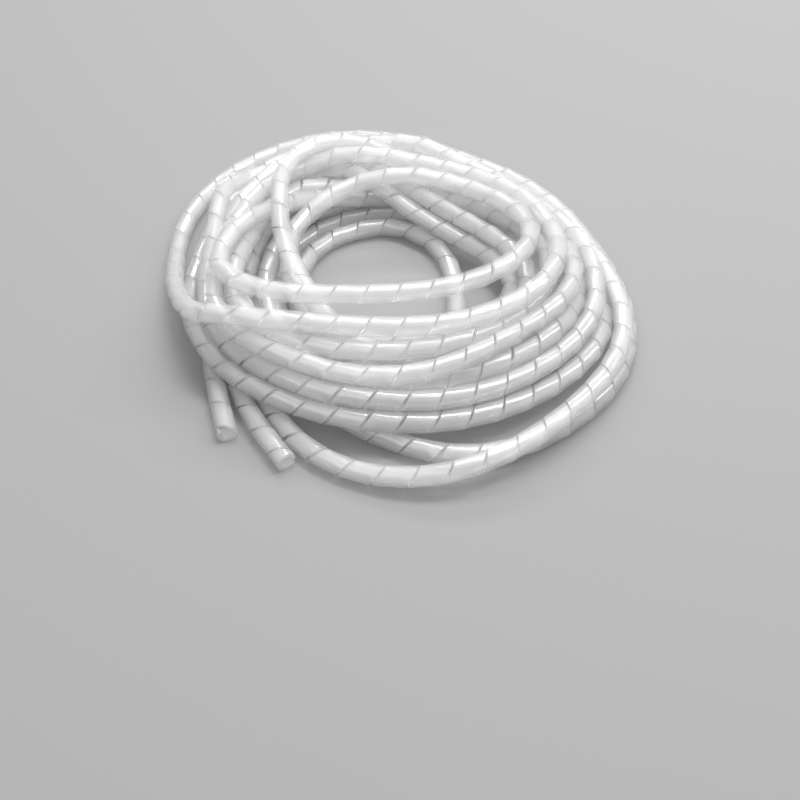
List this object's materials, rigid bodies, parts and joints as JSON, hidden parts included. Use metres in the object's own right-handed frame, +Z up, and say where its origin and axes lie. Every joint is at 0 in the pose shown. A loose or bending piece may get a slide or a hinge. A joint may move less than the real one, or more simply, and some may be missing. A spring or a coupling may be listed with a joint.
{
  "type": "spiral cable wrap",
  "caption": "Loose round coil of translucent white spiral cable wrap, a slit plastic tube that winds around bundles of wires, with both cut ends free.",
  "frame": {"origin": "under the middle of the whole coil's box, on the level floor that the coil lies on", "axes": "+Z up, along the axis of the coil's eye; both free ends lie at the coil's front left and point to -Y"},
  "size_m": [0.1474, 0.1576, 0.0271],
  "materials": {
    "wrap": "natural translucent polyethylene, milky and glossy"
  },
  "bodies": {
    "root": {"spiral_wrap": "wrap"}
  },
  "joints": []
}
